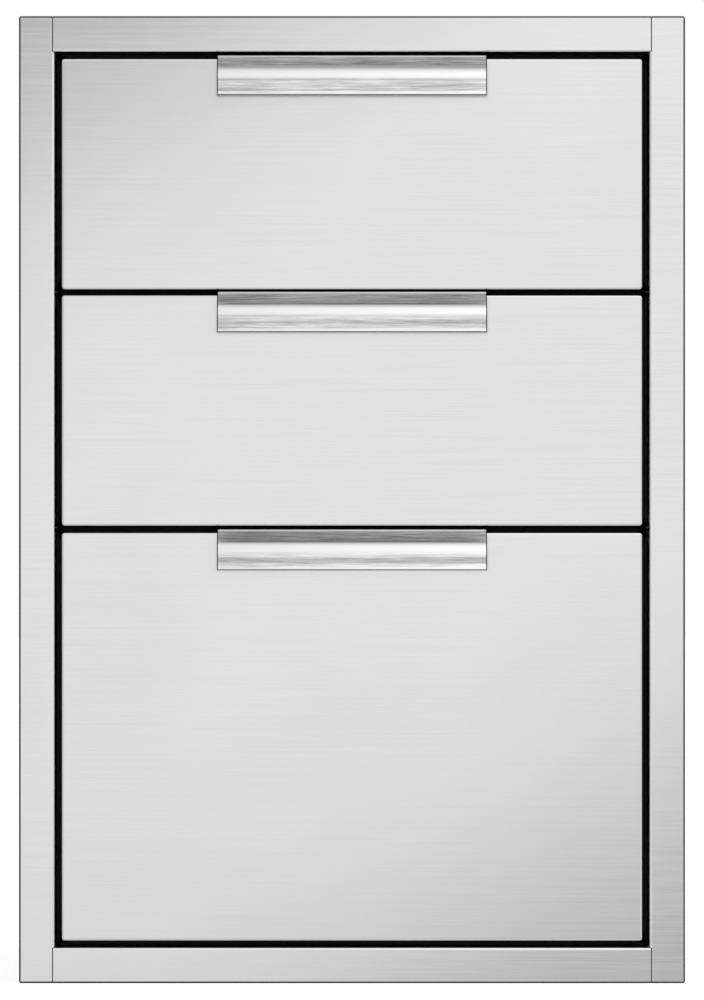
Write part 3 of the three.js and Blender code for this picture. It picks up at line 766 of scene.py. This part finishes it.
# Dividers: channels of 1.2 mm stainless sheet between the drawers, open to the back. They tie the
# stiles together. A strip of black foam tape on each one meets the drawers' rubber seals.
DIVIDER_FRONT = 13.0
DIVIDER_DEPTH = 15.0
DIVIDER_HEIGHT = 22.0
DIVIDER_SHEET = 1.2
DIVIDER_BEND = 1.6
DIVIDER_HALF = 198.2
DIVIDER_LEVELS = {"upper": 440.0, "lower": 281.75}
TAPE_HALF = 196.0
TAPE_HEIGHT = 16.0
TAPE_THICKNESS = 0.15
for name, level in DIVIDER_LEVELS.items():
    channel = folded(
        (DIVIDER_FRONT + DIVIDER_DEPTH, level + DIVIDER_HEIGHT / 2), 180.0,
        [
            DIVIDER_DEPTH - DIVIDER_BEND, (DIVIDER_BEND, 90.0),
            DIVIDER_HEIGHT - 2 * DIVIDER_BEND, (DIVIDER_BEND, 90.0),
            DIVIDER_DEPTH - DIVIDER_BEND,
        ],
        (0, 1, 0), (0, 0, 1), (-DIVIDER_HALF, DIVIDER_HALF),
    )
    thicken(channel, DIVIDER_SHEET, (0, 1, 0))
    node = f"divider_{name}"
    finished(channel, f"{node}_channel", milled_across, "cabinet", node)
    tape = plate(
        (-TAPE_HALF, DIVIDER_FRONT - TAPE_THICKNESS, level - TAPE_HEIGHT / 2),
        (TAPE_HALF, DIVIDER_FRONT, level + TAPE_HEIGHT / 2),
    )
    finished(tape, f"{node}_tape", rubber, "cabinet", edge=0.05)


# Slide members: three zinc-plated channels of 1.2 mm steel that nest in each other. The widest is
# screwed to the housing through long slots, and the narrowest to the side of the drawer.
SLIDE_BACK = 483.0
SLIDE_SHEET = 1.2
SLIDE_BEND = 1.8
SLIDE_TIP = 189.2  # the two wider members reach this near to the drawer
LIP_FLAT = 0.6
OUTER_WEB, OUTER_HALF = 199.7, 22.85
MIDDLE_WEB, MIDDLE_HALF = 197.3, 17.15
INNER_WEB, INNER_TIP, INNER_HALF = 187.6, 194.9, 11.45
SLOT_LENGTH = 14.0
SLOT_WIDTH = 5.0
SCREW_SHARES = (0.08, 0.5, 0.92)  # of the slide's length
SCREW_YS = [SLIDE_FRONT + share * (SLIDE_BACK - SLIDE_FRONT) for share in SCREW_SHARES]
SLIDE_LEVELS = {"top": 495.8, "centre": 337.9, "bottom": 60.8}

# Bright zinc plating: a cool grey with soft clouds and a fine drawn grain along the slide.
plated = steel(
    "cold-rolled steel, bright zinc plated", "c3c7cc", "adb2b8", 0.27, (1.6, 60.0, 1.6), relief=0.1,
)


def lipped_channel(web, half, level):
    """The section of the two wider members, which open towards the drawer."""
    flange = web - SLIDE_TIP - 2 * SLIDE_BEND
    bend = (SLIDE_BEND, 90.0)
    channel = folded(
        (SLIDE_TIP, level - half + LIP_FLAT + SLIDE_BEND), -90.0,
        [LIP_FLAT, bend, flange, bend, 2 * (half - SLIDE_BEND), bend, flange, bend, LIP_FLAT],
        (1, 0, 0), (0, 0, 1), (SLIDE_FRONT, SLIDE_BACK), bend_step=15.0,
    )
    return thicken(channel, SLIDE_SHEET, (-1, 0, 0))


def outer_member(level):
    """The member on the wall, with its slots."""
    slots = bmesh.new()
    for y in SCREW_YS:
        for corner in drill(slots, (OUTER_WEB, y, level), (1, 0, 0), SLOT_WIDTH):
            corner.co.y += math.copysign((SLOT_LENGTH - SLOT_WIDTH) / 2 * MM, corner.co.y - y * MM)
    return punched(lipped_channel(OUTER_WEB, OUTER_HALF, level), slots)


def inner_member(level):
    """The member on the drawer, which opens towards the wall."""
    flange = INNER_TIP - INNER_WEB - SLIDE_BEND
    bend = (SLIDE_BEND, 90.0)
    channel = folded(
        (INNER_TIP, level + INNER_HALF), 180.0,
        [flange, bend, 2 * (INNER_HALF - SLIDE_BEND), bend, flange],
        (1, 0, 0), (0, 0, 1), (SLIDE_FRONT, SLIDE_BACK), bend_step=15.0,
    )
    return thicken(channel, SLIDE_SHEET, (1, 0, 0))


for drawer, level in SLIDE_LEVELS.items():
    for member, body, make, sizes in (
        ("outer", "cabinet", outer_member, (level,)),
        ("intermediate", f"intermediates_{drawer}", lipped_channel, (MIDDLE_WEB, MIDDLE_HALF, level)),
        ("inner", f"drawer_{drawer}", inner_member, (level,)),
    ):
        for side, made in (("right", make(*sizes)), ("left", turned_over(make(*sizes), level))):
            node = f"slide_{drawer}_{side}_{member}"
            finished(made, f"{node}_channel", plated, body, node)


# Ball cages: bent strips of 0.6 mm steel that space two rows of hard steel balls between the
# members. They travel at half the speed of the members that they run between.
CAGE_SHEET = 0.6
CAGE_BEND = 0.9
CAGE_FRONT, CAGE_BACK = 198.5, 318.5
# Each cage's web, half its height and its flange, then where its balls run: x, and above the middle.
CAGES = {"outer": (198.2, 19.7, 6.15, 194.45, 19.4), "inner": (195.8, 14.0, 5.55, 192.65, 13.7)}
BALL_RADIUS = 2.0
BALL_MARGIN = 12.0
BALLS_PER_ROW = 9

# Cold-rolled strip under a film of oil: dark, with a soft shine.
oiled = steel("cold-rolled strip, oiled", "94989c", "7d8185", 0.3, (4.0, 40.0, 4.0), relief=0.1)
# Ground and lapped ball steel, which mirrors what is round it.
lapped = steel(
    "hardened ball steel, lapped", "c8caca", "bcbebe", 0.08, (1.5, 1.5, 1.5), spread=0.03, relief=0.02,
)

for drawer, level in SLIDE_LEVELS.items():
    for which, (web, half, flange, ball_x, ball_z) in CAGES.items():
        for side in ("right", "left"):
            strip = folded(
                (web - flange, level - half), 0.0,
                [
                    flange - CAGE_BEND, (CAGE_BEND, 90.0), 2 * (half - CAGE_BEND),
                    (CAGE_BEND, 90.0), flange - CAGE_BEND,
                ],
                (1, 0, 0), (0, 0, 1), (CAGE_FRONT, CAGE_BACK), bend_step=18.0,
            )
            thicken(strip, CAGE_SHEET, (-1, 0, 0))
            balls = bmesh.new()
            pitch = (CAGE_BACK - CAGE_FRONT - 2 * BALL_MARGIN) / (BALLS_PER_ROW - 1)
            for row in (-ball_z, ball_z):
                for n in range(BALLS_PER_ROW):
                    place = Vector((ball_x, CAGE_FRONT + BALL_MARGIN + n * pitch, level + row)) * MM
                    bmesh.ops.create_uvsphere(
                        balls, u_segments=8, v_segments=6, radius=BALL_RADIUS * MM,
                        matrix=Matrix.Translation(place),
                    )
            if side == "left":
                turned_over(strip, level)
                turned_over(balls, level)
            node = f"slide_{drawer}_{side}_{which}_cage"
            body = f"{which}_cages_{drawer}"
            finished(strip, f"{node}_strip", oiled, body, node, edge=0.1)
            finished(balls, f"{node}_balls", lapped, body, edge=0.0)


# Drawer boxes: floor and sides folded from one 1 mm stainless sheet, with hems along the tops so
# that no raw edge meets the hand, and a separate back riveted to the floor.
BOX_HALF = 187.3
BOX_FRONT = 9.6
BOX_SHEET = 1.0
BOX_BEND = 1.5
BOX_HEM = 8.0
BOX_LIFT = 14.0  # above the front's lower edge
BOX_DROP = 30.0  # below the front's top edge
BACK_STEP = 1.3  # from the box's outside to the back's
BACK_FLANGE = 10.0
# Each front's lower edge and height.
FRONTS = {"top": (441.8, 154.3), "centre": (283.9, 154.3), "bottom": (6.8, 272.8)}

# Grade 304 sheet with a fine satin from a long belt: faint hairlines from front to back, softer
# than the brushing of the fronts.
SATIN_TONES = ("d2d4d5", "c7c9ca", 0.28)
satin = steel("stainless sheet, satin finish", *SATIN_TONES, (0.9, 60.0, 0.9), relief=0.1)
# The same sheet, with its hairlines from side to side.
satin_across = steel(
    "stainless sheet, satin finish, sideways", *SATIN_TONES, (60.0, 0.9, 0.9), relief=0.1,
)


def box_shell(bottom, top):
    """Floor and two sides."""
    bend = (BOX_BEND, 90.0)
    hem = BOX_HEM - BOX_BEND
    wall = top - bottom - 2 * BOX_BEND
    sheet = folded(
        (-BOX_HALF + BOX_HEM, top), 180.0,
        [hem, bend, wall, bend, 2 * (BOX_HALF - BOX_BEND), bend, wall, bend, hem],
        (1, 0, 0), (0, 0, 1), (BOX_FRONT, SLIDE_BACK),
    )
    return thicken(sheet, BOX_SHEET, (0, 0, 1))


def box_back(bottom, top):
    """The back, with a flange forwards along its foot and its top."""
    bend = (BOX_BEND, 90.0)
    flange = BACK_FLANGE - BOX_BEND
    half = BOX_HALF - BACK_STEP
    sheet = folded(
        (SLIDE_BACK - BACK_FLANGE, bottom), 0.0,
        [flange, bend, top - bottom - 2 * BOX_BEND, bend, flange],
        (0, 1, 0), (0, 0, 1), (-half, half),
    )
    return thicken(sheet, BOX_SHEET, (0, -1, 0))


for drawer, (foot, height) in FRONTS.items():
    bottom, top = foot + BOX_LIFT, foot + height - BOX_DROP
    node = f"drawer_{drawer}_box"
    finished(box_shell(bottom, top), f"{node}_shell", satin, f"drawer_{drawer}", node)
    back = box_back(bottom + BACK_STEP, top - BACK_STEP)
    finished(back, f"{node}_back_wall", satin_across, f"drawer_{drawer}", f"{node}_back")


# Liners and seals: a 1 mm sheet closes the back of each front and is the drawer's front wall, and
# a black rubber ring behind its edge closes the gap round the front against rain and smoke.
FRONT_HALF = 194.0
LINER_FRONT = 8.3
LINER_BACK = 9.3
LINER_INSET = 0.5
SEAL_FRONT = 9.6
SEAL_THICKNESS = 3.0
SEAL_HALF = 198.0
SEAL_BAND = 10.2
SEAL_CORNER = 2.0
SEAL_FINS = {"top": (0.8, 3.9), "centre": (0.8, 2.3), "bottom": (3.8, 3.0)}  # below and above the front


def seal(bottom, top):
    """One rubber ring, with a rounded outer fin."""
    ring = plate((-SEAL_HALF, SEAL_FRONT, bottom), (SEAL_HALF, SEAL_FRONT + SEAL_THICKNESS, top))
    corners = [e for e in ring.edges if abs(e.verts[0].co.y - e.verts[1].co.y) > MM]
    round_over(ring, corners, SEAL_CORNER, 4)
    ring.normal_update()
    sides = [f for f in ring.faces if abs(f.normal.y) > 0.9]
    bmesh.ops.inset_region(ring, faces=sides, thickness=SEAL_BAND * MM, use_even_offset=True)
    bmesh.ops.bridge_loops(ring, edges=[e for f in sides for e in f.edges])
    bmesh.ops.delete(ring, geom=sides, context="FACES_ONLY")
    return ring


for drawer, (bottom, height) in FRONTS.items():
    half, low, high = FRONT_HALF - LINER_INSET, bottom + LINER_INSET, bottom + height - LINER_INSET
    sheet = plate((-half, LINER_FRONT, low), (half, LINER_BACK, high))
    node = f"drawer_{drawer}_liner"
    finished(sheet, f"{node}_sheet", satin_across, f"drawer_{drawer}", node)
    below, above = SEAL_FINS[drawer]
    ring = seal(bottom - below, bottom + height + above)
    node = f"drawer_{drawer}_gasket"
    finished(ring, f"{node}_ring", rubber, f"drawer_{drawer}", node, edge=0.6)


# Drawer fronts: shallow pans of 1.2 mm stainless steel, folded back 20 mm on all four sides and
# turned in behind, with the same horizontal brushing as the frame.
FRONT_DEPTH = 20.0
FRONT_SHEET = 1.2
FRONT_BEND = 1.6
FRONT_CORNER = 2.0
FRONT_LIP = 10.0

# The same sheet, finished with a finer belt than the frame: the hairlines are barely seen.
fine_brushed = steel(
    "stainless sheet, fine brushed sideways", "e2e2e2", "dbdbdb", 0.18, (110.0, 0.7, 0.7),
    spread=0.02, relief=0.05,
)


def front(bottom, height):
    """One pan."""
    pan = plate((-FRONT_HALF, FACE, bottom), (FRONT_HALF, FACE + FRONT_DEPTH, bottom + height))
    bmesh.ops.delete(pan, geom=[f for f in pan.faces if f.normal.y > 0.5], context="FACES_ONLY")
    corners = [e for e in pan.edges if abs(e.verts[0].co.y - e.verts[1].co.y) > MM]
    round_over(pan, corners, FRONT_CORNER, 4)
    made = bmesh.ops.extrude_edge_only(pan, edges=[e for e in pan.edges if e.is_boundary])["geom"]
    middle = Vector((0.0, 0.0, (bottom + height / 2) * MM))
    for corner in [g for g in made if isinstance(g, bmesh.types.BMVert)]:
        away = corner.co - middle
        corner.co.x -= math.copysign(FRONT_LIP * MM, away.x)
        corner.co.z -= math.copysign(FRONT_LIP * MM, away.z)
    pan.normal_update()
    rims = [
        e for e in pan.edges
        if len(e.link_faces) == 2 and abs(e.verts[0].co.y - e.verts[1].co.y) < NEAR
        and e.calc_face_angle() > 1.0
    ]
    round_over(pan, rims, FRONT_BEND, 5)
    pan.normal_update()
    bmesh.ops.solidify(pan, geom=pan.faces[:], thickness=FRONT_SHEET * MM)
    return pan


for drawer, (bottom, height) in FRONTS.items():
    node = f"drawer_{drawer}_front"
    finished(front(bottom, height), f"{node}_pan", fine_brushed, f"drawer_{drawer}", node)


# Handles: 2 mm stainless strip, 180 mm long, hooked over the top edge of the front and held there
# by two screws sunk into it, then sloped out, bowed down and flared at the lip for the fingers.
HANDLE_HALF = 90.0
HANDLE_SHEET = 2.0
HANDLE_SEAT = 0.3
HANDLE_HOOK = 18.0
# Its section from the back of the hook on: flats, and each bend's radius and turn.
HANDLE_STEPS = [HANDLE_HOOK, (6.0, 40.0), 10.2, (13.0, 65.0), (8.0, -40.0)]
HANDLE_SCREWS = [(-60.0, -3.0), (60.0, -3.0)]
HANDLE_SCREW_HOLE = 6.6

# Thicker strip of the same steel, brushed by hand along its length: short dark hairlines on the slope.
# The top bend and the bow, which hands rub, are smoother, and painted brighter as a highlight. The cut
# ends and the lip's edge carry painted shade, as dark outlines.
hand_brushed = steel(
    "stainless strip, hand brushed lengthways", "f6f6f6", "868686", 0.19, (26.0, 0.8, 0.8),
    relief=0.8, painted_shade_tone="141414", painted_highlight_tone="e6e6e6",
)
# Painted shade along the cut ends and the lip's edge, as dark outlines.
PAINTED_SHADE_ENDS = (0.55, 0.715)  # how far from a cut end the dark is full, and how far it reaches
PAINTED_SHADE_LIP = 0.22  # how far it reaches from the lip's edge
PAINTED_SHADE_LIP_SHARE = 0.65
LIP_HEADING = math.radians(245.0)
LIP_WAY = Vector((0.0, math.cos(LIP_HEADING), math.sin(LIP_HEADING)))
HANDLE_SLOPE = (1.6, 6.8)  # how far below the top the unrubbed slope starts and ends
# How much the steel is rubbed smooth and painted bright as a highlight, by how far it is below the top.
HANDLE_RUBBED_HIGHLIGHT = [
    (1.45, 1.0), (1.6, 0.0), (6.8, 0.0), (8.0, 0.95),
    (15.0, 0.95), (19.0, 0.25), (24.0, 0.25), (26.5, 1.0),
]

for drawer, (bottom, height) in FRONTS.items():
    top = bottom + height + HANDLE_SEAT + HANDLE_SHEET
    strip = folded(
        (FACE + HANDLE_HOOK, top), 180.0, HANDLE_STEPS,
        (0, 1, 0), (0, 0, 1), (-HANDLE_HALF, HANDLE_HALF), bend_step=4.0,
    )
    thicken(strip, HANDLE_SHEET, (0, 0, -1))
    holes = bmesh.new()
    for x, y in HANDLE_SCREWS:
        drill(holes, (x, y, top), (0, 0, 1), HANDLE_SCREW_HOLE)
    made = punched(strip, holes)
    for side in (-1, 1):
        for reach in PAINTED_SHADE_ENDS:
            cut(made, (side * (HANDLE_HALF - reach), 0, 0), (1, 0, 0))
    lip_end = max(corner.co.dot(LIP_WAY) for corner in made.verts) / MM
    cut(made, LIP_WAY * (lip_end - PAINTED_SHADE_LIP), LIP_WAY)
    for depth in HANDLE_SLOPE:
        cut(made, (0, 0, top - depth), (0, 0, 1))
    # The edge attribute paints shade along the cut ends and the lip; the other marks where the steel is
    # rubbed smoother and painted bright as a highlight.
    painted_shade = made.verts.layers.float.new("edge")
    rubbed_highlight = made.verts.layers.float.new("rubbed_highlight")
    for corner in made.verts:
        if abs(corner.co.x) > (HANDLE_HALF - sum(PAINTED_SHADE_ENDS) / 2) * MM:
            corner[painted_shade] = 1.0
        elif corner.co.dot(LIP_WAY) > (lip_end - PAINTED_SHADE_LIP / 2) * MM:
            corner[painted_shade] = PAINTED_SHADE_LIP_SHARE
        corner[rubbed_highlight] = along(HANDLE_RUBBED_HIGHLIGHT, top - corner.co.z / MM)
    node = f"drawer_{drawer}_handle"
    finished(made, f"{node}_strip", hand_brushed, f"drawer_{drawer}", node, edge=0.35)


# Fasteners: button screws with hexagon sockets hold the slides, the frame and the handles, press
# nuts take the slides' flat screws, and blind rivets hold the liners and the backs of the boxes.
# All are stainless.
HEAD_TAPER = 0.42  # the radius of a head's top, as a share of its diameter
HEAD_ROUND = 0.4  # the rounding round its top, as a share of its height
HEAD_RIM = 0.1  # the flat ring round its hollow, as a share of its diameter
HOLLOW_DEPTH = 0.6  # as a share of the head's height


def button(diameter, height, recess, sides):
    """A fastener's head, standing on its seat at the origin: rounded, with a hollow in the top."""
    made = bmesh.new()
    bmesh.ops.create_cone(
        made, cap_ends=True, segments=ROUND_SIDES,
        radius1=diameter / 2 * MM, radius2=HEAD_TAPER * diameter * MM,
        depth=height * MM, matrix=Matrix.Translation((0.0, 0.0, height / 2 * MM)),
    )
    top = max(made.faces, key=lambda f: f.calc_center_median().z)
    round_over(made, top.edges[:], HEAD_ROUND * height, 3)
    caps = [f for f in made.faces if len(f.verts) == ROUND_SIDES]
    top = max(caps, key=lambda f: f.calc_center_median().z)
    bmesh.ops.inset_individual(made, faces=[top], thickness=HEAD_RIM * diameter * MM)
    for corner in top.verts:
        angle = math.atan2(corner.co.y, corner.co.x)
        part = 2 * math.pi / sides
        across = recess / 2 * MM / math.cos((angle + part / 2) % part - part / 2) * math.cos(part / 2)
        corner.co.x, corner.co.y = across * math.cos(angle), across * math.sin(angle)
    floor_face = bmesh.ops.extrude_discrete_faces(made, faces=[top])["faces"][0]
    bmesh.ops.translate(made, verts=floor_face.verts[:], vec=(0.0, 0.0, -HOLLOW_DEPTH * height * MM))
    mesh = bpy.data.meshes.new("fastener")
    made.to_mesh(mesh)
    made.free()
    return mesh


def fixed(shape, places):
    """Copies of a fastener at each place, each facing its own way."""
    made = bmesh.new()
    for place, way in places:
        first = len(made.verts)
        made.from_mesh(shape)
        made.verts.ensure_lookup_table()
        bmesh.ops.transform(made, matrix=standing(place, way), verts=made.verts[first:])
    return made


OUTER_SCREW_SEAT = 198.5
INNER_SCREW_SEAT = 188.8
FRAME_SCREW_Y = 21.0
FRAME_SCREW_ZS = (22.0, 122.0, 222.0, 303.0, 385.0, 460.0, 530.0, 584.0)  # clear of the slides
RAIL_SCREW_XS = (-150.0, -50.0, 50.0, 150.0)
LINER_RIVET_XS = (-150.0, -50.0, 50.0, 150.0)
LINER_RIVET_DROP = 9.0
BACK_RIVET_Y = 477.5
BACK_RIVET_XS = (-140.0, -50.0, 50.0, 140.0)

# Cold-headed stainless: smooth and slightly bright on the dome.
headed = steel(
    "stainless fasteners, cold headed", "d0d2d2", "c0c2c2", 0.22, (1.2, 1.2, 1.2), relief=0.08,
)

flat_screw = button(9.0, 0.25, 3.6, 6)
slide_screw = button(7.0, 1.5, 3.0, 6)
frame_screw = button(6.5, 1.2, 2.8, 6)
handle_screw = button(6.2, 1.8, 3.0, 6)
rivet = button(4.2, 0.9, 1.4, 24)
press_nut = button(9.0, 1.2, 4.2, 24)

for drawer, level in SLIDE_LEVELS.items():
    for kind, shape, seat, way, body in (
        ("wall_screws", flat_screw, OUTER_SCREW_SEAT, -1, "cabinet"),
        ("wall_nuts", press_nut, WALL, 1, "cabinet"),
        ("drawer_screws", slide_screw, INNER_SCREW_SEAT, 1, f"drawer_{drawer}"),
    ):
        places = [((side * seat, y, level), (side * way, 0, 0)) for side in (-1, 1) for y in SCREW_YS]
        finished(fixed(shape, places), f"slide_{drawer}_{kind}", headed, body, edge=0.0)

frame_screws = []
for side in (-1, 1):
    frame_screws += [((side * OPENING_HALF, FRAME_SCREW_Y, z), (-side, 0, 0)) for z in FRAME_SCREW_ZS]
for side in (-1, 1):
    inside = MIDDLE + side * (MIDDLE - OPENING_FOOT)
    frame_screws += [((x, FRAME_SCREW_Y, inside), (0, 0, -side)) for x in RAIL_SCREW_XS]
finished(fixed(frame_screw, frame_screws), "frame_screws", headed, "cabinet", edge=0.0)

for drawer, (bottom, height) in FRONTS.items():
    body = f"drawer_{drawer}"
    seat = bottom + height + HANDLE_SEAT
    screws = [((x, y, seat), (0, 0, 1)) for x, y in HANDLE_SCREWS]
    finished(fixed(handle_screw, screws), f"{body}_handle_screws", headed, body, edge=0.0)
    rivets = [((x, LINER_BACK, bottom + height - LINER_RIVET_DROP), (0, 1, 0)) for x in LINER_RIVET_XS]
    flange_top = bottom + BOX_LIFT + BACK_STEP + BOX_SHEET
    rivets += [((x, BACK_RIVET_Y, flange_top), (0, 0, 1)) for x in BACK_RIVET_XS]
    rivets += [((x, BACK_RIVET_Y, bottom + BOX_LIFT), (0, 0, -1)) for x in BACK_RIVET_XS]
    finished(fixed(rivet, rivets), f"{body}_rivets", headed, body, edge=0.0)
